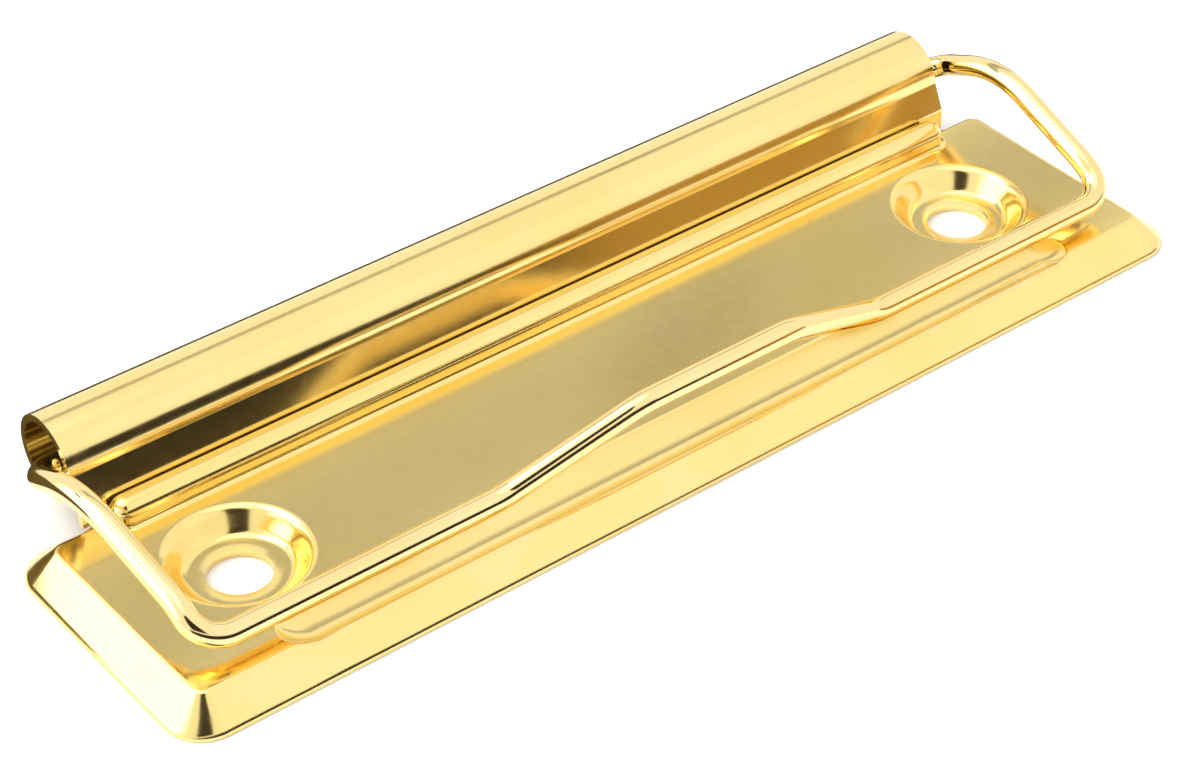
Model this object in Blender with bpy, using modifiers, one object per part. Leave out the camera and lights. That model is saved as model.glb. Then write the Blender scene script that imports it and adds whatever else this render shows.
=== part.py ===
"""Board clip: a pressed base plate, a rolled lever and a sprung wire bail.

Sizes are millimetres. x runs along the clip from its middle, y back from the
front edge of the plate, and z up from the board.
"""

import math

import bmesh
import bpy
from mathutils import Matrix, Vector

MM = 0.001
GAP = 0.3  # clearance between pieces that touch in the real clip

# Base plate: a shallow tray of sheet with its open side down.
PLATE_LENGTH = 120.0
PLATE_DEPTH = 30.3
PLATE_HEIGHT = 3.1
PLATE_CORNER = 4.0
SHEET = 0.9

# Skirt: slopes from the bend at the panel down to a short upright foot.
SKIRT_RUN = 3.0
SKIRT_FOOT = 0.5
SKIRT_BEND = 0.6
SKIRT_SLOPE = math.atan2(PLATE_HEIGHT - SKIRT_FOOT, SKIRT_RUN)

# Arch along the rear of the plate, which holds the bead of the lever.
HINGE_INSET = 3.9
HINGE_SINK = 0.2  # hinge line below the top of the plate
BEAD_RADIUS = 0.9
ARCH_INSET = 9.0  # from the end of the plate to the tip of the arch
ARCH_LIP = 0.15  # how far the rear lip reaches below the hinge line
HINGE_Y = PLATE_DEPTH - HINGE_INSET
HINGE_Z = PLATE_HEIGHT - HINGE_SINK
ARCH_INNER = BEAD_RADIUS + GAP
ARCH_OUTER = ARCH_INNER + SHEET
ARCH_END = PLATE_LENGTH / 2 - ARCH_INSET

# Round dimples, each with a rivet hole in a land that lies on the board.
DIMPLE_INSET = 15.7
DIMPLE_TO_HINGE = 10.1
HOLE_RADIUS = 3.1
LAND_WIDTH = 1.4
DIMPLE_SLOPE = 2.75
DIMPLE_X = PLATE_LENGTH / 2 - DIMPLE_INSET
DIMPLE_Y = HINGE_Y - DIMPLE_TO_HINGE
LAND_RADIUS = HOLE_RADIUS + LAND_WIDTH
DIMPLE_RADIUS = LAND_RADIUS + DIMPLE_SLOPE

# Groove under the front bar of the wire, round at both ends.
GROOVE_FRONT = 2.1
GROOVE_WIDTH = 5.8
GROOVE_DEPTH = 1.0
GROOVE_INSET = 12.5
GROOVE_Y = GROOVE_FRONT + GROOVE_WIDTH / 2
GROOVE_ROUND = (GROOVE_WIDTH**2 / 4 + GROOVE_DEPTH**2) / (2 * GROOVE_DEPTH)
GROOVE_Z = PLATE_HEIGHT - GROOVE_DEPTH + GROOVE_ROUND
GROOVE_END = PLATE_LENGTH / 2 - GROOVE_INSET - GROOVE_WIDTH / 2 + GROOVE_ROUND

# Lever: bead, tongue, web and roll bent from one strip.
LEVER_SHEET = 0.75
LEVER_INSET = 6.9
WEB_BACK = 3.5  # from the hinge line to the middle of the web's sheet
WEB_BEND = 0.9
WEB_LEAN = math.radians(14)
ROLL_BACK = 7.5  # from the hinge line to the middle of the roll
ROLL_UP = 4.3
ROLL_RADIUS = 4.4
ROLL_WRAP = math.radians(310)
LEVER_END = PLATE_LENGTH / 2 - LEVER_INSET
TONGUE_Z = HINGE_Z - ARCH_LIP - GAP - LEVER_SHEET / 2
TONGUE_END = ARCH_END - ARCH_OUTER + GAP
ROLL_Y = HINGE_Y + ROLL_BACK
ROLL_Z = HINGE_Z + ROLL_UP

# Wire bail, whose two ends lie in the roll against its front wall as the axle.
WIRE_RADIUS = 1.175
WIRE_END = 4.0  # from the middle to each end of the wire
AXLE_RAISE = math.radians(20)
ARM_CLEARANCE = 1.4  # between the lever's ends and the arms
ARM_BEND = 2.3
ARM_CREST_AHEAD = 8.9  # from the axle to where the arms turn down
ARM_CREST_RISE = 3.9
ARM_CREST_BEND = 12.0
ARM_KNEE_BACK = 3.8  # from the front bar to where the arms turn down again
ARM_KNEE_RISE = 2.3
ARM_KNEE_BEND = 7.0
ARM_TOE = 1.0  # how far the arms close in by their front ends
CORNER_BEND = 3.2
BAR_SETBACK = 0.5  # of the front bar behind the middle of the groove
BAR_CLEARANCE = 1.1  # under the front bar, with no paper in the clip
HUMP_TOP = 8.9
HUMP_FOOT = 22.7
HUMP_RISE = 5.6
HUMP_LEAN = 2.7
HUMP_BEND = 6.0
AXLE_REACH = ROLL_RADIUS - LEVER_SHEET - GAP - WIRE_RADIUS
AXLE_Y = ROLL_Y - AXLE_REACH * math.cos(AXLE_RAISE)
AXLE_Z = ROLL_Z + AXLE_REACH * math.sin(AXLE_RAISE)
ARM_X = LEVER_END + ARM_CLEARANCE + WIRE_RADIUS
BAR_Y = GROOVE_Y + BAR_SETBACK
BAR_Z = PLATE_HEIGHT + BAR_CLEARANCE + WIRE_RADIUS

GOLD = (0.86, 0.62, 0.24)
OVERALL_DEPTH = ROLL_Y + ROLL_RADIUS


def at(x, y, z):
    """The point in metres, in a frame centred under the whole clip."""
    return Vector((x, y - OVERALL_DEPTH / 2, z)) * MM


def collection(name, hidden):
    made = bpy.data.collections.new(name)
    made.hide_render = hidden
    bpy.context.scene.collection.children.link(made)
    return made


for old in list(bpy.data.objects):
    bpy.data.objects.remove(old)
clip = collection("board_clip", False)
cutters = collection("cutters", True)


def arc(middle, radius, start, turn, steps):
    """Points on a circle, from the angle start through turn."""
    angles = [start + turn * i / steps for i in range(steps + 1)]
    return [
        (middle[0] + radius * math.cos(a), middle[1] + radius * math.sin(a))
        for a in angles
    ]


def helper(name, mesh):
    """A shape that is only cut from a piece or joined to it."""
    made = bpy.data.objects.new(name, mesh)
    made.hide_render = True
    made.display_type = "WIRE"
    cutters.objects.link(made)
    return made


def box(name, low, high):
    bm = bmesh.new()
    bmesh.ops.create_cube(bm, size=1.0)
    size = (Vector(high) - Vector(low)) * MM
    move = Matrix.Translation(at(*(Vector(high) + Vector(low)) / 2))
    bmesh.ops.transform(bm, matrix=move @ Matrix.Diagonal((*size, 1.0)), verts=bm.verts)
    mesh = bpy.data.meshes.new(name)
    bm.to_mesh(mesh)
    bm.free()
    return helper(name, mesh)


def tray(name, steps):
    """A solid whose rounded outline moves inwards through (inset, z) steps."""
    across, near, far = PLATE_LENGTH / 2 - PLATE_CORNER, PLATE_CORNER, PLATE_DEPTH - PLATE_CORNER
    middles = ((across, near), (across, far), (-across, far), (-across, near))
    quarter = math.pi / 2
    bm = bmesh.new()
    loops = []
    for inset, z in steps:
        outline = []
        for i, middle in enumerate(middles):
            outline += arc(middle, PLATE_CORNER - inset, (i - 1) * quarter, quarter, 6)
        loops.append([bm.verts.new(at(x, y, z)) for x, y in outline])
    for low, high in zip(loops, loops[1:]):
        for i in range(len(low)):
            bm.faces.new((low[i - 1], low[i], high[i], high[i - 1]))
    bm.faces.new(loops[0][::-1])
    bm.faces.new(loops[-1])
    mesh = bpy.data.meshes.new(name)
    bm.to_mesh(mesh)
    bm.free()
    return helper(name, mesh)


def turned(name, profile, axis, place, steps):
    """Turns (along, radius) points about the axis through place."""
    mesh = bpy.data.meshes.new(name)
    if axis == "X":
        points = [Vector((along, 0.0, radius)) * MM for along, radius in profile]
    else:
        points = [Vector((radius, 0.0, along)) * MM for along, radius in profile]
    mesh.from_pydata(points, [(i, i + 1) for i in range(len(points) - 1)], [])
    made = helper(name, mesh)
    made.location = at(*place)
    screw = made.modifiers.new("turn", "SCREW")
    screw.axis = axis
    screw.steps = screw.render_steps = steps
    screw.use_merge_vertices = True
    screw.merge_threshold = 0.000001
    return made


def capsule(name, radius, end, y, z, steps):
    """A round bar along x with domed ends, whose tips are at end."""
    straight = end - radius
    quarter = math.pi / 2
    profile = arc((straight, 0.0), radius, 0.0, quarter, 6)
    profile += arc((-straight, 0.0), radius, quarter, quarter, 6)
    return turned(name, profile, "X", (0.0, y, z), steps)


def combine(target, operation, *others):
    for other in others:
        step = target.modifiers.new(other.name, "BOOLEAN")
        step.operation = operation
        step.solver = "EXACT"
        step.object = other


def finish(shape, name, roughness, pivot):
    """Bakes the shape, puts its origin on pivot and gives it its own metal."""
    bpy.context.view_layer.update()
    graph = bpy.context.evaluated_depsgraph_get()
    mesh = bpy.data.meshes.new_from_object(shape.evaluated_get(graph))
    mesh.transform(Matrix.Translation(-at(*pivot)) @ shape.matrix_world)
    mesh.name = name
    metal = bpy.data.materials.new(name + "_metal")
    metal.use_nodes = True
    metal.diffuse_color = (*GOLD, 1.0)
    shader = metal.node_tree.nodes["Principled BSDF"]
    shader.inputs["Base Color"].default_value = (*GOLD, 1.0)
    shader.inputs["Metallic"].default_value = 1.0
    shader.inputs["Roughness"].default_value = roughness
    mesh.materials.clear()
    mesh.materials.append(metal)
    mesh.shade_smooth()
    mesh.set_sharp_from_angle(angle=math.radians(35))
    made = bpy.data.objects.new(name, mesh)
    made.location = at(*pivot)
    clip.objects.link(made)
    bpy.data.objects.remove(shape)


def dimple_face(depth):
    """(z, radius) points up the dimple's slope, depth below its upper face."""
    rise = PLATE_HEIGHT - SHEET
    found = []
    for i in range(9):
        t = i / 8
        run = Vector((DIMPLE_SLOPE, rise * math.pi / 2 * math.sin(math.pi * t)))
        run.normalize()
        height = SHEET + rise * (1 - math.cos(math.pi * t)) / 2
        radius = LAND_RADIUS + DIMPLE_SLOPE * t
        found.append((height - depth * run.x, radius + depth * run.y))
    return found


def base_plate():
    """The hollow keeps the metal under each dimple and the groove."""
    bend_inset = SKIRT_RUN + SKIRT_BEND * math.tan(SKIRT_SLOPE / 2)
    bend_middle = (bend_inset, PLATE_HEIGHT - SKIRT_BEND)
    bend = arc(bend_middle, SKIRT_BEND, math.pi / 2 + SKIRT_SLOPE, -SKIRT_SLOPE, 3)
    plate = tray("plate", [(0.0, 0.0), (0.0, SKIRT_FOOT)] + bend)
    inner_foot = (SHEET * math.sin(SKIRT_SLOPE), SKIRT_FOOT - SHEET * math.cos(SKIRT_SLOPE))
    inner_bend = (SKIRT_RUN + SHEET * math.tan(SKIRT_SLOPE / 2), PLATE_HEIGHT - SHEET)
    hollow = tray("hollow", [(inner_foot[0], -1.0), inner_foot, inner_bend])
    below = capsule(
        "groove_below", GROOVE_ROUND + SHEET, GROOVE_END + SHEET, GROOVE_Y, GROOVE_Z, 64
    )
    groove = capsule("groove", GROOVE_ROUND, GROOVE_END, GROOVE_Y, GROOVE_Z, 64)
    under = [(PLATE_HEIGHT, 0.0), (PLATE_HEIGHT, DIMPLE_RADIUS)]
    under += dimple_face(SHEET)[::-1] + [(-2.0, LAND_RADIUS), (-2.0, 0.0)]
    over = [(PLATE_HEIGHT + 1, 0.0), (PLATE_HEIGHT + 1, DIMPLE_RADIUS)]
    over += dimple_face(0.0)[::-1]
    over += [(SHEET, HOLE_RADIUS), (-1.0, HOLE_RADIUS), (-1.0, 0.0)]
    combine(hollow, "DIFFERENCE", below)
    combine(plate, "DIFFERENCE", hollow, groove)
    for side, x in (("left", -DIMPLE_X), ("right", DIMPLE_X)):
        place = (x, DIMPLE_Y, 0.0)
        metal = turned("dimple_metal_" + side, under, "Z", place, 48)
        dimple = turned("dimple_" + side, over, "Z", place, 48)
        combine(hollow, "DIFFERENCE", metal)
        combine(plate, "DIFFERENCE", dimple)
    arch = capsule("arch", ARCH_OUTER, ARCH_END, HINGE_Y, HINGE_Z, 32)
    bore = capsule("arch_bore", ARCH_INNER, ARCH_END - SHEET, HINGE_Y, HINGE_Z, 32)
    below_arch = box(
        "below_arch",
        (-ARCH_END - 1, HINGE_Y - ARCH_OUTER - 1, HINGE_Z - ARCH_OUTER - 1),
        (ARCH_END + 1, HINGE_Y + ARCH_OUTER + 1, PLATE_HEIGHT - SHEET / 2),
    )
    slot = box(
        "tongue_slot",
        (-TONGUE_END - GAP, HINGE_Y, -1.0),
        (TONGUE_END + GAP, PLATE_DEPTH, HINGE_Z - ARCH_LIP),
    )
    rear = box(
        "rear_opening",
        (-LEVER_END - GAP, HINGE_Y + ARCH_OUTER - 0.1, -1.0),
        (LEVER_END + GAP, PLATE_DEPTH + 1, PLATE_HEIGHT + 1),
    )
    combine(arch, "DIFFERENCE", below_arch)
    combine(plate, "UNION", arch)
    combine(plate, "DIFFERENCE", bore, slot, rear)
    finish(plate, "base_plate", 0.16, (0.0, OVERALL_DEPTH / 2, 0.0))


def lever_section():
    """(y, z) points along the middle of the lever's sheet."""
    bend_y = HINGE_Y + WEB_BACK - WEB_BEND * math.cos(WEB_LEAN)
    quarter = math.pi / 2
    found = [(HINGE_Y - GAP, TONGUE_Z)]
    found += arc(
        (bend_y, TONGUE_Z + WEB_BEND), WEB_BEND, -quarter, quarter - WEB_LEAN, 6
    )
    roll = arc(
        (ROLL_Y, ROLL_Z), ROLL_RADIUS - LEVER_SHEET / 2, math.pi + WEB_LEAN, -ROLL_WRAP, 40
    )
    low, high = found[-1], roll[0]
    bow = math.tan(WEB_LEAN) * (high[1] - low[1]) / math.pi
    for i in range(1, 8):
        t = i / 8
        y = low[0] + (high[0] - low[0]) * t + bow * math.sin(math.pi * t)
        found.append((y, low[1] + (high[1] - low[1]) * t))
    return found + roll


def lever():
    """A strip of sheet, its tongue cut shorter, with the bead along the tongue."""
    bm = bmesh.new()
    verts = [bm.verts.new(at(-LEVER_END, y, z)) for y, z in lever_section()]
    edges = [bm.edges.new(pair) for pair in zip(verts[:-1], verts[1:])]
    swept = bmesh.ops.extrude_edge_only(bm, edges=edges)["geom"]
    bmesh.ops.translate(
        bm,
        vec=(2 * LEVER_END * MM, 0.0, 0.0),
        verts=[v for v in swept if isinstance(v, bmesh.types.BMVert)],
    )
    mesh = bpy.data.meshes.new("strip")
    bm.to_mesh(mesh)
    bm.free()
    strip = helper("strip", mesh)
    sheet = strip.modifiers.new("sheet", "SOLIDIFY")
    sheet.thickness = LEVER_SHEET * MM
    sheet.offset = 0.0
    sheet.use_even_offset = True
    web_front = HINGE_Y + WEB_BACK - LEVER_SHEET
    for side, x in (("left", -LEVER_END), ("right", LEVER_END)):
        near, far = sorted((math.copysign(TONGUE_END, x), x + math.copysign(1, x)))
        notch = box(
            "tongue_end_" + side,
            (near, HINGE_Y - 2, TONGUE_Z - 2),
            (far, web_front, TONGUE_Z + 1),
        )
        combine(strip, "DIFFERENCE", notch)
    profile = [(TONGUE_END, 0.0), (TONGUE_END, BEAD_RADIUS)]
    profile += [(-TONGUE_END, BEAD_RADIUS), (-TONGUE_END, 0.0)]
    combine(
        strip, "UNION", turned("bead", profile, "X", (0.0, HINGE_Y, HINGE_Z), 24)
    )
    finish(strip, "lever", 0.12, (0.0, HINGE_Y, HINGE_Z))


def rounded(corners):
    """Points along straight runs whose corners (place, radius) are bent round."""
    found = [corners[0][0]]
    for i in range(1, len(corners) - 1):
        here, radius = corners[i]
        back = (corners[i - 1][0] - here).normalized()
        ahead = (corners[i + 1][0] - here).normalized()
        half = back.angle(ahead) / 2
        middle = here + (back + ahead).normalized() * radius / math.sin(half)
        start = here + back * radius / math.tan(half) - middle
        end = here + ahead * radius / math.tan(half) - middle
        turn = start.angle(end)
        steps = max(2, round(math.degrees(turn) / 12))
        for k in range(steps + 1):
            a = turn * k / steps
            spoke = start * math.sin(turn - a) + end * math.sin(a)
            found.append(middle + spoke / math.sin(turn))
    return found + [corners[-1][0]]


def bail_wire():
    """One wire, laid out on the right and mirrored for the left."""
    front_x = ARM_X - ARM_TOE
    half = [
        ((WIRE_END, AXLE_Y, AXLE_Z), 0.0),
        ((ARM_X, AXLE_Y, AXLE_Z), ARM_BEND),
        ((ARM_X, AXLE_Y - ARM_CREST_AHEAD, AXLE_Z + ARM_CREST_RISE), ARM_CREST_BEND),
        ((front_x, BAR_Y + ARM_KNEE_BACK, BAR_Z + ARM_KNEE_RISE), ARM_KNEE_BEND),
        ((front_x, BAR_Y, BAR_Z), CORNER_BEND),
        ((HUMP_FOOT, BAR_Y, BAR_Z), HUMP_BEND),
        ((HUMP_TOP, BAR_Y - HUMP_LEAN, BAR_Z + HUMP_RISE), HUMP_BEND),
    ]
    corners = [(Vector(place), radius) for place, radius in half]
    other = [(Vector((-p.x, p.y, p.z)), radius) for p, radius in reversed(corners)]
    points = rounded(corners + other)
    wire = bpy.data.curves.new("wire", "CURVE")
    wire.dimensions = "3D"
    wire.bevel_depth = WIRE_RADIUS * MM
    wire.bevel_resolution = 3
    wire.use_fill_caps = True
    run = wire.splines.new("POLY")
    run.points.add(len(points) - 1)
    for spot, point in zip(run.points, points):
        spot.co = (*at(*point), 1.0)
    shape = helper("wire", wire)
    finish(shape, "bail_wire", 0.14, (0.0, AXLE_Y, AXLE_Z))


base_plate()
lever()
bail_wire()
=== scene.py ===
import math

import bmesh
import bpy
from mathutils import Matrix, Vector
from mathutils.geometry import delaunay_2d_cdt


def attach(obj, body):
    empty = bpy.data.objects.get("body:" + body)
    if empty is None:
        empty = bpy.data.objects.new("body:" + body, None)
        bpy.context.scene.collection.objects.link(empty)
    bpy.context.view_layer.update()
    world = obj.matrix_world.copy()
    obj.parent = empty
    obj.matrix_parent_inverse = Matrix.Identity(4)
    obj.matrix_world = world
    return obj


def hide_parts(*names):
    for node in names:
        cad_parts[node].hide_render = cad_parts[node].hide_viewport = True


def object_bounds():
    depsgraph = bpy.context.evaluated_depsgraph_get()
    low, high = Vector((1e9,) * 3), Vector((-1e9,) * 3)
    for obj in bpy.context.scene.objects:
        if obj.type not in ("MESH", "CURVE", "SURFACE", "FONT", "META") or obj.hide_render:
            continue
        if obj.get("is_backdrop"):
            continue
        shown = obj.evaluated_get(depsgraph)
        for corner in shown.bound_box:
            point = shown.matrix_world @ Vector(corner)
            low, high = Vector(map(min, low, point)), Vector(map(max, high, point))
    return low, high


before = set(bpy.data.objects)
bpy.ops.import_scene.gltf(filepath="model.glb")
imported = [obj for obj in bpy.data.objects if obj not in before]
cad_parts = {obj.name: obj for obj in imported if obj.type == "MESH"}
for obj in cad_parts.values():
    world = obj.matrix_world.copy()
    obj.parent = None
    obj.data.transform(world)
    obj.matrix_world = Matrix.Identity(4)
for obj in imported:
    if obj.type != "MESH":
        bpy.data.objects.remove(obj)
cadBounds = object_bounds()

# Sizes are millimetres. y starts at the plate's front edge and z at the board.
mm = 0.001
halfDepth = 19.15  # the frame's origin lies this far behind the front edge


def at(x, y, z):
    return Vector((x, y - halfDepth, z)) * mm


def addObject(name, data):
    made = bpy.data.objects.new(name, data)
    bpy.context.scene.collection.objects.link(made)
    return made


def bake(shape, name):
    # the evaluated shape as a plain mesh, in the same place
    bpy.context.view_layer.update()
    graph = bpy.context.evaluated_depsgraph_get()
    mesh = bpy.data.meshes.new_from_object(shape.evaluated_get(graph))
    bpy.data.objects.remove(shape)
    return addObject(name, mesh)


def cornerArc(back, here, ahead, radius, steps=None):
    # points that round the corner at here; without steps, one for each 4 degrees
    toBack, toAhead = (back - here).normalized(), (ahead - here).normalized()
    half = toBack.angle(toAhead) / 2
    middle = here + (toBack + toAhead).normalized() * radius / math.sin(half)
    start = here + toBack * radius / math.tan(half) - middle
    end = here + toAhead * radius / math.tan(half) - middle
    turn = start.angle(end)
    steps = steps or max(3, round(math.degrees(turn) / 4))
    turns = [turn * k / steps for k in range(steps + 1)]
    return [middle + (start * math.sin(turn - a) + end * math.sin(a)) / math.sin(turn) for a in turns]


def smoothShade(piece, degrees):
    piece.data.shade_smooth()
    piece.data.set_sharp_from_angle(angle=math.radians(degrees))
    weighted = piece.modifiers.new("weighted", "WEIGHTED_NORMAL")
    weighted.keep_sharp = True
    weighted.weight = 80


def sheetPiece(skin, name, thickness, offset, even, edgeWidth):
    # the skin with its thickness, rounded edges and shading
    sheet = skin.modifiers.new("sheet", "SOLIDIFY")
    sheet.thickness = thickness * mm
    sheet.offset = offset
    sheet.use_even_offset = even
    edge = skin.modifiers.new("edge", "BEVEL")
    edge.width = edgeWidth * mm
    edge.segments = 2
    edge.limit_method = "ANGLE"
    edge.angle_limit = math.radians(60)
    piece = bake(skin, name)
    smoothShade(piece, 38)
    return piece


# Gold finish, shared by the three pieces
finish = {
    "drift": 55.0,  # scale of the slow change of tint
    "grain": 900.0,  # scale of the fine grain
    "rub": 380.0,  # scale of the rubbed patches
    "wornTint": (0.9, 0.8, 0.6),
    "worn": 0.3,
    "dulling": 0.35,  # roughness that full wear adds
    "relief": 0.00001,
    "driftRange": (0.35, 0.7),  # the part of the noise that each one uses
    "rubRange": (0.42, 0.62),
    "wearTurn": 40.0,  # degrees between faces where an edge is fully worn
}


def newSocket(tree, name, way, kind, value=None):
    socket = tree.interface.new_socket(name=name, in_out=way, socket_type=kind)
    if value is not None:
        socket.default_value = value
    return socket


def goldFinishGroup():
    tree = bpy.data.node_groups.new("goldFinish", "ShaderNodeTree")
    newSocket(tree, "Tint", "INPUT", "NodeSocketColor")
    newSocket(tree, "Deep Tint", "INPUT", "NodeSocketColor")
    newSocket(tree, "Polish", "INPUT", "NodeSocketFloat")
    newSocket(tree, "Satin", "INPUT", "NodeSocketFloat")
    newSocket(tree, "Grain", "INPUT", "NodeSocketFloat", finish["grain"])
    newSocket(tree, "Worn Tint", "INPUT", "NodeSocketColor", (*finish["wornTint"], 1.0))
    newSocket(tree, "Worn", "INPUT", "NodeSocketFloat", finish["worn"])
    newSocket(tree, "Color", "OUTPUT", "NodeSocketColor")
    newSocket(tree, "Roughness", "OUTPUT", "NodeSocketFloat")
    newSocket(tree, "Height", "OUTPUT", "NodeSocketFloat")
    nodes, links = tree.nodes, tree.links
    given = nodes.new("NodeGroupInput")
    out = nodes.new("NodeGroupOutput")
    place = nodes.new("ShaderNodeTexCoord")
    cloud = nodes.new("ShaderNodeTexNoise")  # slow drift of the plating
    cloud.inputs["Scale"].default_value = finish["drift"]
    cloud.inputs["Detail"].default_value = 2.0
    links.new(place.outputs["Object"], cloud.inputs["Vector"])
    speck = nodes.new("ShaderNodeTexNoise")  # fine grain of the plating
    speck.inputs["Detail"].default_value = 3.0
    links.new(place.outputs["Object"], speck.inputs["Vector"])
    links.new(given.outputs["Grain"], speck.inputs["Scale"])
    tint = nodes.new("ShaderNodeMix")
    tint.data_type = "RGBA"
    spread = nodes.new("ShaderNodeMapRange")
    spread.inputs["From Min"].default_value = finish["driftRange"][0]
    spread.inputs["From Max"].default_value = finish["driftRange"][1]
    links.new(cloud.outputs["Fac"], spread.inputs["Value"])
    links.new(spread.outputs["Result"], tint.inputs["Factor"])
    links.new(given.outputs["Tint"], tint.inputs["A"])
    links.new(given.outputs["Deep Tint"], tint.inputs["B"])
    rough = nodes.new("ShaderNodeMix")
    rough.data_type = "FLOAT"
    links.new(speck.outputs["Fac"], rough.inputs["Factor"])
    links.new(given.outputs["Polish"], rough.inputs["A"])
    links.new(given.outputs["Satin"], rough.inputs["B"])
    edge = nodes.new("ShaderNodeAttribute")  # 1 on sharp outer edges
    edge.attribute_name = "wear"
    patch = nodes.new("ShaderNodeTexNoise")  # where the edges are rubbed
    patch.inputs["Scale"].default_value = finish["rub"]
    links.new(place.outputs["Object"], patch.inputs["Vector"])
    rubbed = nodes.new("ShaderNodeMapRange")
    rubbed.inputs["From Min"].default_value = finish["rubRange"][0]
    rubbed.inputs["From Max"].default_value = finish["rubRange"][1]
    links.new(patch.outputs["Fac"], rubbed.inputs["Value"])
    onEdge = nodes.new("ShaderNodeMath")
    onEdge.operation = "MULTIPLY"
    links.new(edge.outputs["Fac"], onEdge.inputs[0])
    links.new(rubbed.outputs["Result"], onEdge.inputs[1])
    amount = nodes.new("ShaderNodeMath")
    amount.operation = "MULTIPLY"
    links.new(onEdge.outputs["Value"], amount.inputs[0])
    links.new(given.outputs["Worn"], amount.inputs[1])
    worn = nodes.new("ShaderNodeMix")
    worn.data_type = "RGBA"
    links.new(amount.outputs["Value"], worn.inputs["Factor"])
    links.new(tint.outputs["Result"], worn.inputs["A"])
    links.new(given.outputs["Worn Tint"], worn.inputs["B"])
    dull = nodes.new("ShaderNodeMath")
    dull.operation = "MULTIPLY_ADD"
    dull.inputs[1].default_value = finish["dulling"]
    links.new(amount.outputs["Value"], dull.inputs[0])
    links.new(rough.outputs["Result"], dull.inputs[2])
    links.new(worn.outputs["Result"], out.inputs["Color"])
    links.new(dull.outputs["Value"], out.inputs["Roughness"])
    links.new(speck.outputs["Fac"], out.inputs["Height"])
    return tree


finishGroup = goldFinishGroup()


def goldMaterial(name, tint, deepTint, polish, satin, bump):
    material = bpy.data.materials.new(name)
    material.use_nodes = True
    nodes, links = material.node_tree.nodes, material.node_tree.links
    shader = nodes["Principled BSDF"]
    shader.inputs["Metallic"].default_value = 1.0
    coat = nodes.new("ShaderNodeGroup")
    coat.node_tree = finishGroup
    coat.inputs["Tint"].default_value = (*tint, 1.0)
    coat.inputs["Deep Tint"].default_value = (*deepTint, 1.0)
    coat.inputs["Polish"].default_value = polish
    coat.inputs["Satin"].default_value = satin
    relief = nodes.new("ShaderNodeBump")
    relief.inputs["Strength"].default_value = bump
    relief.inputs["Distance"].default_value = finish["relief"]
    links.new(coat.outputs["Color"], shader.inputs["Base Color"])
    links.new(coat.outputs["Roughness"], shader.inputs["Roughness"])
    links.new(coat.outputs["Height"], relief.inputs["Height"])
    links.new(relief.outputs["Normal"], shader.inputs["Normal"])
    return material


def markWear(piece):
    # 1 at the points on sharp outer edges, less on gentler ones
    bm = bmesh.new()
    bm.from_mesh(piece.data)
    found = [0.0] * len(bm.verts)
    for edge in bm.edges:
        if edge.is_manifold and edge.is_convex:
            turn = min(edge.calc_face_angle() / math.radians(finish["wearTurn"]), 1.0)
            for vert in edge.verts:
                found[vert.index] = max(found[vert.index], turn)
    bm.free()
    wear = piece.data.attributes.new("wear", "FLOAT", "POINT")
    wear.data.foreach_set("value", found)


# Base plate: one pressed skin, open for the holes and the lever, given its thickness
plate = {
    "length": 120.0,
    "depth": 30.3,
    "height": 3.1,
    "corner": 4.0,
    "skirt": 3.0,  # run of the slope from the foot up to the panel
    "foot": 0.5,
    "bend": 0.6,
    "footRound": 0.15,
    "footRun": 0.3,  # how far in that rounding reaches
    "footLift": 0.05,  # keeps the bevelled foot above the board
    "sheet": 0.9,
    "edge": 0.12,  # rounding of the cut edges
    "soften": 0.14,  # how softly pressed forms run into each other
    "skirtRings": (0.0, 0.06, 0.14, 0.22, 0.3, 1.2, 2.1),
    "longest": 4.0,  # gap between points along a straight side
    "steps": {"corner": 14, "groove": 9, "arch": 8, "dimple": 72},  # to a quarter turn, or round
    "dimple": {"x": 44.3, "y": 16.3, "outer": 7.25, "land": 4.5, "hole": 3.1},
    "groove": {"y": 5.0, "width": 5.8, "depth": 1.0, "tip": 47.5},
    "arch": {
        "y": 26.6,
        "z": 4.1,
        "radius": 1.5,
        "foot": 0.6,  # radius where its walls meet the plate
        "steep": 25.0,  # drop of its rear wall for each millimetre back
        "tip": 51.0,
    },
    "opening": {"x": 53.4, "y": 27.85},  # behind the arch, for the lever
    "gold": {
        "tint": (0.98, 0.77, 0.31),
        "deepTint": (0.96, 0.73, 0.26),
        "polish": 0.12,
        "satin": 0.18,
        "bump": 0.2,
    },
}
dimple, groove = plate["dimple"], plate["groove"]
arch, opening = plate["arch"], plate["opening"]


def plateInset(x, y):
    # distance in from the plate's outline
    r = plate["corner"]
    dx = abs(x) - (plate["length"] / 2 - r)
    dy = abs(y - plate["depth"] / 2) - (plate["depth"] / 2 - r)
    return r - (math.hypot(max(dx, 0), max(dy, 0)) + min(max(dx, dy), 0))


def blendMin(a, b, soft):
    h = max(soft - abs(a - b), 0) / soft
    return min(a, b) - h * h * soft / 4


grooveRound = (groove["width"] ** 2 / 4 + groove["depth"] ** 2) / (2 * groove["depth"])
grooveHalf = groove["tip"] - groove["width"] / 2
archHalf = arch["tip"] - arch["radius"]


def barDistance(x, y, middle, half):
    return math.hypot(max(abs(x) - half, 0), y - middle)


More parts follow.
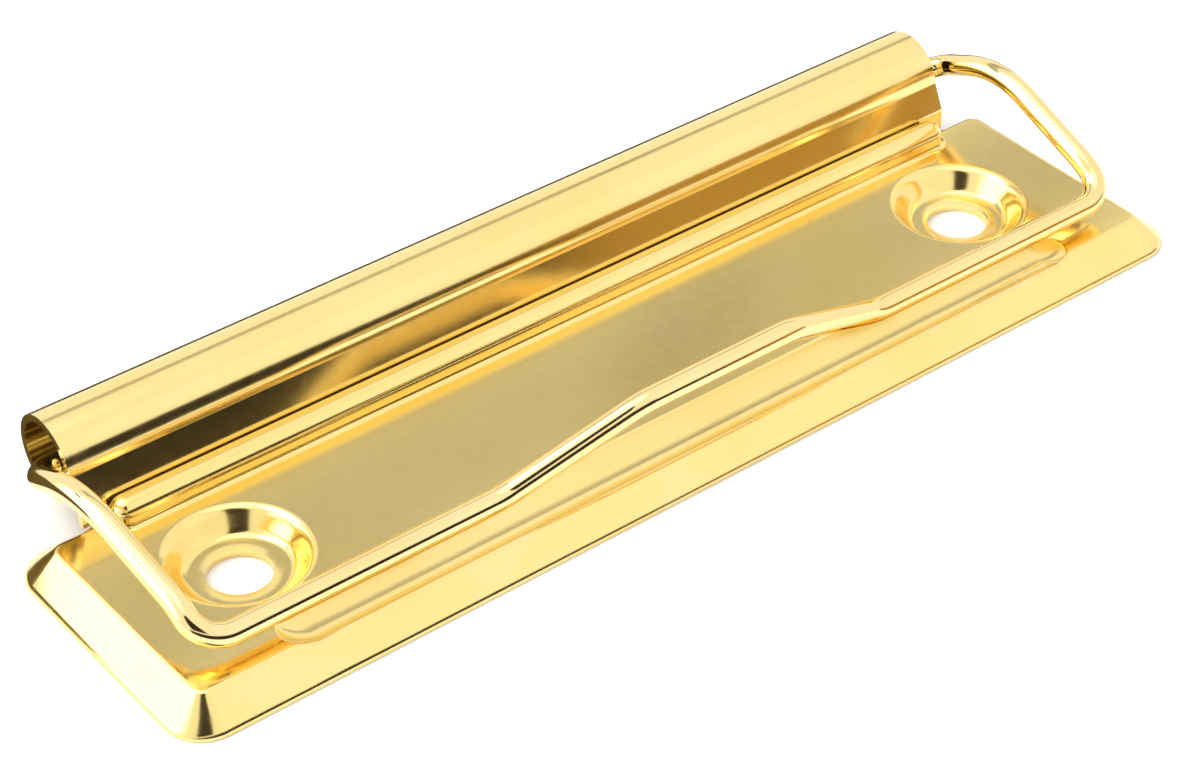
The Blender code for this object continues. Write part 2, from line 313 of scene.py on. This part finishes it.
def dimpleHeight(r):
    drop = plate["height"] - plate["sheet"]
    bend = drop / 2
    lean = math.asin(drop / (dimple["outer"] - dimple["land"]))
    run = bend * math.sin(lean)
    if r <= dimple["land"]:
        return plate["sheet"]
    if r < dimple["land"] + run:
        return plate["sheet"] + bend - math.sqrt(bend**2 - (r - dimple["land"]) ** 2)
    if r > dimple["outer"] - run:
        return plate["height"] - bend + math.sqrt(bend**2 - (dimple["outer"] - r) ** 2)
    low = plate["sheet"] + bend * (1 - math.cos(lean))
    return low + (r - dimple["land"] - run) * math.tan(lean)


skirtSlope = math.atan2(plate["height"] - plate["foot"], plate["skirt"])
bendInset = plate["skirt"] + plate["bend"] * math.tan(skirtSlope / 2)


def skirtHeight(inset):
    if inset >= bendInset:
        return plate["height"]
    back = bendInset - inset
    if back < plate["bend"] * math.sin(skirtSlope):
        drop = plate["bend"] - math.sqrt(plate["bend"] ** 2 - back**2)
        return plate["height"] - drop
    start = max(1 - inset / plate["footRun"], 0.0)
    return plate["foot"] + inset * math.tan(skirtSlope) - plate["footRound"] * start**2


def plateHeight(x, y):
    z = skirtHeight(max(plateInset(x, y), 0.0))
    r = barDistance(x, y, groove["y"], grooveHalf)
    if r < grooveRound * 0.8:
        middle = plate["height"] - groove["depth"] + grooveRound
        z = blendMin(z, middle - math.sqrt(grooveRound**2 - r**2), plate["soften"])
    r = math.hypot(abs(x) - dimple["x"], y - dimple["y"])
    if r < dimple["outer"]:
        z = dimpleHeight(r)
    r = barDistance(x, y, arch["y"], archHalf)
    turn, foot = arch["radius"], arch["foot"]
    over = arch["z"] + math.sqrt(turn**2 - min(r, turn) ** 2)
    over -= max(r - turn, 0) * arch["steep"]
    if r < turn:
        return over
    if r < turn + foot:
        z = max(z, plate["height"] + foot - math.sqrt(foot**2 - (turn + foot - r) ** 2))
    rear = min(max(archHalf - abs(x), 0), 1)  # the rear wall hangs down to its lip
    return z + (over - z) * rear if y > arch["y"] else z


def roundLoop(halfX, halfY, middleY, r, cornerSteps, gap):
    # rounded rectangle, with points along its straight sides no more than gap apart
    found = []
    ends = [(1, -1, -90), (1, 1, 0), (-1, 1, 90), (-1, -1, 180)]
    for sx, sy, first in ends:
        middle = Vector((sx * (halfX - r), middleY + sy * (halfY - r)))
        for i in range(cornerSteps + 1):
            a = math.radians(first + 90 * i / cornerSteps)
            found.append(middle + r * Vector((math.cos(a), math.sin(a))))
    filled = []
    for here, ahead in zip(found, found[1:] + found[:1]):
        pieces = max(1, math.ceil((ahead - here).length / gap))
        filled += [here.lerp(ahead, k / pieces) for k in range(pieces)]
    return filled


def plateLoops():
    # closed outlines that the skin's triangles follow
    run = plate["bend"] * math.sin(skirtSlope)
    gap, steps = plate["longest"], plate["steps"]
    insets = [*plate["skirtRings"], bendInset + 0.2]
    for inset in insets + [bendInset - run * k / 8 for k in range(9)]:
        r = plate["corner"] - inset
        halfX = plate["length"] / 2 - inset
        halfY = plate["depth"] / 2 - inset
        yield roundLoop(halfX, halfY, plate["depth"] / 2, r, steps["corner"], gap)
    half = groove["width"] / 2
    rims = [half + k * 0.07 for k in range(-3, 5)]
    for r in rims + [half * k / 9 for k in range(1, 9)]:
        yield roundLoop(grooveHalf + r, r, groove["y"], r, steps["groove"], gap)
    turn, foot = arch["radius"], arch["foot"]
    rings = [turn * math.sin(math.radians(a)) for a in range(6, 85, 6)]
    rings += [turn * 0.9975, turn + 0.004]
    for r in rings + [turn + foot - foot * math.cos(math.radians(a)) for a in range(15, 91, 15)]:
        yield roundLoop(archHalf + r, r, arch["y"], r, steps["arch"], gap)
    slope = dimple["outer"] - dimple["land"]
    rings = [dimple["land"] + slope * k / 16 for k in range(17)]
    for r in rings + [dimple["hole"], dimple["land"] - 0.2, dimple["outer"] + 0.15]:
        for side in (-1, 1):
            count = steps["dimple"]
            spots = [math.radians(360 * k / count) for k in range(count)]
            centre = Vector((side * dimple["x"], dimple["y"]))
            yield [centre + r * Vector((math.cos(a), math.sin(a))) for a in spots]
    x, low, high = opening["x"], opening["y"], plate["depth"]
    yield [Vector(spot) for spot in ((-x, low), (x, low), (x, high), (-x, high))]


def flatSpot(vert):
    return vert.co.x / mm, vert.co.y / mm + halfDepth


def makePlate():
    points, edges = [], []
    for loop in plateLoops():
        first = len(points)
        points += loop
        edges += [(first + i, first + (i + 1) % len(loop)) for i in range(len(loop))]
    flat, _, faces, *_ = delaunay_2d_cdt(points, edges, [], 1, 1e-4)
    bm = bmesh.new()
    verts = [bm.verts.new(at(p.x, p.y, plateHeight(p.x, p.y))) for p in flat]
    for face in faces:
        x = sum(flat[i].x for i in face) / 3
        y = sum(flat[i].y for i in face) / 3
        hole = math.hypot(abs(x) - dimple["x"], y - dimple["y"]) < dimple["hole"]
        if not hole and (y < opening["y"] or abs(x) > opening["x"]):
            bm.faces.new([verts[i] for i in face])
    bmesh.ops.delete(bm, geom=[v for v in bm.verts if not v.link_faces], context="VERTS")
    rim = [e for e in bm.edges if e.is_boundary]
    rim = [e for e in rim if all(plateInset(*flatSpot(v)) < 0.01 for v in e.verts)]
    foot = bmesh.ops.extrude_edge_only(bm, edges=rim)["geom"]
    for vert in foot:
        if isinstance(vert, bmesh.types.BMVert):
            vert.co.z = plate["footLift"] * mm
    bmesh.ops.recalc_face_normals(bm, faces=bm.faces)
    if sum(face.normal.z for face in bm.faces) < 0:
        bmesh.ops.reverse_faces(bm, faces=bm.faces)
    mesh = bpy.data.meshes.new("basePlate")
    bm.to_mesh(mesh)
    bm.free()
    skin = addObject("basePlate", mesh)
    thickness = plate["sheet"] - plate["footLift"] / 2
    return sheetPiece(skin, "basePlateVisual", thickness, -1.0, False, plate["edge"])


# Lever: one strip, curled under the arch, up the web and round the roll
lever = {
    "end": 53.1,
    "sheet": 0.75,
    "tongueEnd": 49.2,
    "tongueZ": 2.075,
    "tongueRun": 1.0,  # straight part behind the curl
    "hingeY": 26.4,
    "bead": 0.58,
    "curl": (math.radians(70), math.radians(200)),  # its start and its turn
    "bend": 0.6,
    "web": (28.6, 4.85),  # where its upright foot turns back
    "lean": math.radians(25),
    "nip": math.radians(-8),  # where the roll begins, down from its front
    "rollY": 33.9,
    "rollZ": 7.2,
    "roll": 4.4,
    "wrap": math.radians(300),
    "edge": 0.1,
    "curlSteps": 16,
    "bendSteps": 10,
    "rollSteps": 110,
    "gold": {
        "tint": (0.98, 0.78, 0.33),
        "deepTint": (0.96, 0.74, 0.28),
        "polish": 0.1,
        "satin": 0.17,
        "bump": 0.15,
    },
}


def arcPoints(middle, radius, start, turn, steps):
    turns = [start + turn * i / steps for i in range(steps + 1)]
    return [(middle[0] + radius * math.cos(a), middle[1] + radius * math.sin(a)) for a in turns]


def rounded(points, radius, steps):
    # the same path with each inner corner turned into an arc
    points = [Vector(point) for point in points]
    found = [points[0]]
    for back, here, ahead in zip(points, points[1:], points[2:]):
        found += cornerArc(back, here, ahead, radius, steps)
    return found + [points[-1]]


def leverSection():
    # (y, z) points and how many of them belong to the narrower tongue
    curl = lever["bead"] - lever["sheet"] / 2
    hinge = (lever["hingeY"], lever["tongueZ"] + curl)
    found = arcPoints(hinge, curl, *lever["curl"], lever["curlSteps"])
    tongue = len(found) + lever["bendSteps"] + 1  # past the bend at the foot of the web
    footY, footZ = lever["web"]
    ring = lever["roll"] - lever["sheet"] / 2
    middle = (lever["rollY"], lever["rollZ"])
    roll = arcPoints(middle, ring, math.pi + lever["nip"], -lever["wrap"], lever["rollSteps"])
    up = Vector((math.sin(lever["lean"]), math.cos(lever["lean"])))
    down = Vector((math.sin(lever["nip"]), -math.cos(lever["nip"])))
    across = Vector(roll[0]) - Vector((footY, footZ))
    reach = (across.x * down.y - across.y * down.x) / (up.x * down.y - up.y * down.x)
    knee = Vector((footY, footZ)) + up * reach
    tongueStart = (hinge[0] + lever["tongueRun"], lever["tongueZ"])
    corners = [tongueStart, (footY, lever["tongueZ"]), (footY, footZ), knee, roll[0]]
    found += rounded(corners, lever["bend"], lever["bendSteps"])[:-1]
    return found + roll, tongue


def makeLever():
    section, tongue = leverSection()
    stations = [-lever["end"], -lever["tongueEnd"], lever["tongueEnd"], lever["end"]]
    bm = bmesh.new()
    rows = []
    for y, z in section:
        rows.append([bm.verts.new(at(x, y, z)) for x in stations])
    for i in range(len(rows) - 1):
        for k in range(3):
            if i >= tongue or k == 1:
                a, b = rows[i], rows[i + 1]
                bm.faces.new((a[k], a[k + 1], b[k + 1], b[k]))
    bmesh.ops.delete(bm, geom=[v for v in bm.verts if not v.link_faces], context="VERTS")
    mesh = bpy.data.meshes.new("lever")
    bm.to_mesh(mesh)
    bm.free()
    strip = addObject("leverStrip", mesh)
    return sheetPiece(strip, "leverVisual", lever["sheet"], 0.0, True, lever["edge"])


# Wire bail: one path, swept by a node tree
wire = {
    "radius": 1.15,
    "sides": 40,
    "end": 4.0,
    "axle": (31.8562, 7.9439),
    "armX": 55.675,
    "exitBend": 2.3,
    "crest": (8.9, 3.9, 12.0),  # ahead of the axle, above it, bend
    "knee": (3.8, 2.3, 7.0),  # behind the bar, above it, bend
    "toe": 1.0,
    "cornerBend": 3.2,
    "bar": (5.6, 5.375),
    "humpTop": 8.9,
    "humpFoot": 22.7,
    "humpRise": 5.6,
    "humpLean": 2.7,
    "humpBend": 6.0,
    "gold": {
        "tint": (0.98, 0.79, 0.38),
        "deepTint": (0.96, 0.74, 0.32),
        "polish": 0.06,
        "satin": 0.12,
        "bump": 0.15,
    },
}


def bentPath(corners):
    found = [corners[0][0]]
    for (back, _), (here, radius), (ahead, _) in zip(corners, corners[1:], corners[2:]):
        found += cornerArc(back, here, ahead, radius)
    return found + [corners[-1][0]]


def wirePath():
    axleY, axleZ = wire["axle"]
    barY, barZ = wire["bar"]
    frontX = wire["armX"] - wire["toe"]
    ahead, rise, crestBend = wire["crest"]
    kneeBack, kneeRise, kneeBend = wire["knee"]
    half = [
        ((wire["end"], axleY, axleZ), 0.0),
        ((wire["armX"], axleY, axleZ), wire["exitBend"]),
        ((wire["armX"], axleY - ahead, axleZ + rise), crestBend),
        ((frontX, barY + kneeBack, barZ + kneeRise), kneeBend),
        ((frontX, barY, barZ), wire["cornerBend"]),
        ((wire["humpFoot"], barY, barZ), wire["humpBend"]),
        ((wire["humpTop"], barY - wire["humpLean"], barZ + wire["humpRise"]), wire["humpBend"]),
    ]
    corners = [(Vector(spot), r) for spot, r in half]
    other = [(Vector((-p.x, p.y, p.z)), r) for p, r in reversed(corners)]
    return bentPath(corners + other)


def sweepTree():
    tree = bpy.data.node_groups.new("wireSweep", "GeometryNodeTree")
    newSocket(tree, "Geometry", "INPUT", "NodeSocketGeometry")
    newSocket(tree, "Radius", "INPUT", "NodeSocketFloat")
    newSocket(tree, "Sides", "INPUT", "NodeSocketInt")
    newSocket(tree, "Material", "INPUT", "NodeSocketMaterial")
    newSocket(tree, "Geometry", "OUTPUT", "NodeSocketGeometry")
    nodes, links = tree.nodes, tree.links
    given = nodes.new("NodeGroupInput")
    ring = nodes.new("GeometryNodeCurvePrimitiveCircle")
    sweep = nodes.new("GeometryNodeCurveToMesh")
    sweep.inputs["Fill Caps"].default_value = True
    weld = nodes.new("GeometryNodeMergeByDistance")
    weld.inputs["Distance"].default_value = 0.000001
    shade = nodes.new("GeometryNodeSetShadeSmooth")
    real = nodes.new("GeometryNodeRealizeInstances")
    coat = nodes.new("GeometryNodeSetMaterial")
    out = nodes.new("NodeGroupOutput")
    links.new(given.outputs["Radius"], ring.inputs["Radius"])
    links.new(given.outputs["Sides"], ring.inputs["Resolution"])
    links.new(given.outputs["Geometry"], sweep.inputs["Curve"])
    links.new(ring.outputs["Curve"], sweep.inputs["Profile Curve"])
    links.new(sweep.outputs["Mesh"], weld.inputs["Geometry"])
    links.new(weld.outputs["Geometry"], shade.inputs["Geometry"])
    links.new(shade.outputs["Geometry"], real.inputs["Geometry"])
    links.new(real.outputs["Geometry"], coat.inputs["Geometry"])
    links.new(given.outputs["Material"], coat.inputs["Material"])
    links.new(coat.outputs["Geometry"], out.inputs["Geometry"])
    return tree


def makeWire(material):
    points = wirePath()
    path = bpy.data.curves.new("wirePath", "CURVE")
    path.dimensions = "3D"
    run = path.splines.new("POLY")
    run.points.add(len(points) - 1)
    for spot, point in zip(run.points, points):
        spot.co = (*at(*point), 1.0)
    guide = addObject("wirePath", path)
    sweep = guide.modifiers.new("sweep", "NODES")
    sweep.node_group = sweepTree()
    values = {"Radius": wire["radius"] * mm, "Sides": wire["sides"], "Material": material}
    for item in sweep.node_group.interface.items_tree:
        if item.in_out == "INPUT" and item.name in values:
            sweep[item.identifier] = values[item.name]
    piece = bake(guide, "bailWireVisual")
    bm = bmesh.new()
    bm.from_mesh(piece.data)
    bmesh.ops.recalc_face_normals(bm, faces=bm.faces)
    bm.to_mesh(piece.data)
    bm.free()
    smoothShade(piece, 50)
    return piece


plateGold = goldMaterial("plateGold", **plate["gold"])
leverGold = goldMaterial("leverGold", **lever["gold"])
wireGold = goldMaterial("wireGold", **wire["gold"])

platePiece = makePlate()
print("base plate", len(platePiece.data.polygons))
leverPiece = makeLever()
print("lever", len(leverPiece.data.polygons))
wirePiece = makeWire(wireGold)
print("bail wire", len(wirePiece.data.polygons))

for piece, material, body, node in (
    (platePiece, plateGold, "base", "base_plate"),
    (leverPiece, leverGold, "lever", "lever"),
    (wirePiece, wireGold, "bail", "bail_wire"),
):
    markWear(piece)
    piece.data.materials.clear()
    piece.data.materials.append(material)
    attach(piece, body)
    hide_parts(node)

# Studio: pale floor, soft light, mirrored cards and the photograph's camera; the floor
# and the lamp are in metres
studio = {
    "floor": 0.9,
    "floorHalf": 1.5,
    "sky": 1.05,
    "lampSpot": (-0.35, 0.4, 0.8),
    "lampSize": (0.5, 0.5),
    "lampPower": 2.0,
    "lens": 92.84,
    "sensor": 36.0,
    "cameraSpot": (-149.294, -167.350, 183.744),  # as the sizes, in millimetres
    "cameraAhead": (0.49261, 0.61856, -0.61215),
}

# direction, cosine where it starts and is full, brightness
skyParts = [
    ((-0.10, 0.10, 1.00), 0.88, 0.97, 1.8),  # soft box overhead
    ((-0.75, 0.50, 0.43), 0.80, 0.93, 3.0),  # tall soft box, left
    ((0.49, -0.55, 0.66), 0.93, 0.98, 1.12),  # soft box in front, right
    ((-0.38, 0.65, 0.66), 0.992, 0.995, 0.03),  # dark gap between them
]


def makeFloor():
    bm = bmesh.new()
    bmesh.ops.create_grid(bm, x_segments=1, y_segments=1, size=studio["floorHalf"])
    mesh = bpy.data.meshes.new("floor")
    bm.to_mesh(mesh)
    bm.free()
    floor = addObject("floor", mesh)
    material = bpy.data.materials.new("floorWhite")
    material.use_nodes = True
    shader = material.node_tree.nodes["Principled BSDF"]
    shader.inputs["Base Color"].default_value = (studio["floor"],) * 3 + (1.0,)
    shader.inputs["Roughness"].default_value = 0.9
    shader.inputs["Specular IOR Level"].default_value = 0.0
    mesh.materials.append(material)
    floor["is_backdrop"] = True


# Cards that the metal mirrors and the camera doesn't see, in metres: each has its
# place in y, its colour and its outline in x and z
cards = {
    "darkSide": {
        "y": -0.30,
        "color": (0.02, 0.016, 0.012),
        "outline": [
            (-0.6, 0.0), (0.187, 0.0), (0.182, 0.07), (0.165, 0.115), (0.12, 0.15), (-0.6, 0.15),
        ],
    },
    "brownSide": {
        "y": -0.31,
        "color": (0.32, 0.19, 0.05),
        "outline": [(0.1, 0.0), (0.9, 0.0), (0.9, 0.12), (0.1, 0.12)],
    },
    "cameraSide": {
        "y": -0.24,
        "color": (0.02, 0.016, 0.012),
        "outline": [
            (-0.34, 0.16), (-0.12, 0.16), (-0.08, 0.4), (-0.12, 0.6), (-0.36, 0.6), (-0.4, 0.4),
        ],
    },
    "backSide": {
        "y": 0.1,
        "color": (0.46, 0.46, 0.48),
        "outline": [(-0.02, 0.091), (0.2, 0.0865), (0.2, 0.125), (-0.02, 0.128)],
    },
    "backPatch": {
        "y": 0.0995,
        "color": (0.36, 0.36, 0.37),
        "outline": [(0.085, 0.094), (0.112, 0.094), (0.105, 0.116), (0.078, 0.116)],
    },
    # painted shade: a dark brown strip low behind the clip that only the metal mirrors, standing in
    # for the floor that lies in the clip's shadow
    "paintedShadeLowBack": {
        "y": 0.0225,
        "color": (0.12, 0.09, 0.04),
        "outline": [(-0.09, 0.0), (0.09, 0.0), (0.09, 0.0105), (-0.09, 0.0105)],
    },
}


def makeCard(name, y, color, outline):
    mesh = bpy.data.meshes.new(name)
    mesh.from_pydata([(x, y, z) for x, z in outline], [], [range(len(outline))])
    card = addObject(name, mesh)
    card.visible_camera = False
    card.visible_shadow = False
    card.visible_diffuse = False
    material = bpy.data.materials.new(name)
    material.use_nodes = True
    shader = material.node_tree.nodes["Principled BSDF"]
    shader.inputs["Base Color"].default_value = (*color, 1.0)
    shader.inputs["Roughness"].default_value = 1.0
    shader.inputs["Specular IOR Level"].default_value = 0.0
    mesh.materials.append(material)
    card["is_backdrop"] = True


def makeLamp(name):
    light = bpy.data.lights.new(name, "AREA")
    light.shape = "RECTANGLE"
    light.size, light.size_y = studio["lampSize"]
    light.energy = studio["lampPower"]
    lamp = addObject(name, light)
    spot = Vector(studio["lampSpot"])
    lamp.location = spot
    lamp.rotation_euler = (-spot).to_track_quat("-Z", "Y").to_euler()  # at the clip


def makeWorld():
    world = bpy.data.worlds.new("studio")
    bpy.context.scene.world = world
    world.use_nodes = True
    nodes, links = world.node_tree.nodes, world.node_tree.links
    place = nodes.new("ShaderNodeTexCoord")
    level = None
    for direction, start, full, brightness in skyParts:
        near = nodes.new("ShaderNodeVectorMath")
        near.operation = "DOT_PRODUCT"
        near.inputs[1].default_value = Vector(direction).normalized()
        links.new(place.outputs["Generated"], near.inputs[0])
        mask = nodes.new("ShaderNodeMapRange")
        mask.interpolation_type = "SMOOTHSTEP"
        mask.inputs["From Min"].default_value = start
        mask.inputs["From Max"].default_value = full
        links.new(near.outputs["Value"], mask.inputs["Value"])
        mix = nodes.new("ShaderNodeMix")
        mix.inputs["A"].default_value = studio["sky"]
        mix.inputs["B"].default_value = brightness
        links.new(mask.outputs["Result"], mix.inputs["Factor"])
        if level:
            links.new(level, mix.inputs["A"])
        level = mix.outputs["Result"]
    path = nodes.new("ShaderNodeLightPath")
    seen = nodes.new("ShaderNodeMix")  # the camera itself sees plain white
    seen.inputs["B"].default_value = 1.0
    links.new(path.outputs["Is Camera Ray"], seen.inputs["Factor"])
    links.new(level, seen.inputs["A"])
    back = nodes["Background"]
    back.inputs["Color"].default_value = (1.0, 1.0, 1.0, 1.0)
    links.new(seen.outputs["Result"], back.inputs["Strength"])


def makeCamera():
    data = bpy.data.cameras.new("camera")
    data.lens = studio["lens"]
    data.sensor_width = studio["sensor"]
    data.sensor_fit = "HORIZONTAL"
    camera = addObject("camera", data)
    camera.location = at(*studio["cameraSpot"])
    ahead = Vector(studio["cameraAhead"])
    camera.rotation_euler = ahead.to_track_quat("-Z", "Y").to_euler()
    bpy.context.scene.camera = camera


makeFloor()
makeWorld()
makeLamp("topLamp")
for name, card in cards.items():
    makeCard(name, **card)
makeCamera()
bpy.context.scene.view_settings.view_transform = "Standard"
print("studio ready")

boxes = {"cad": cadBounds, "visual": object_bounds()}
{k: [[float(c) for c in p] for p in v] for k, v in boxes.items()}
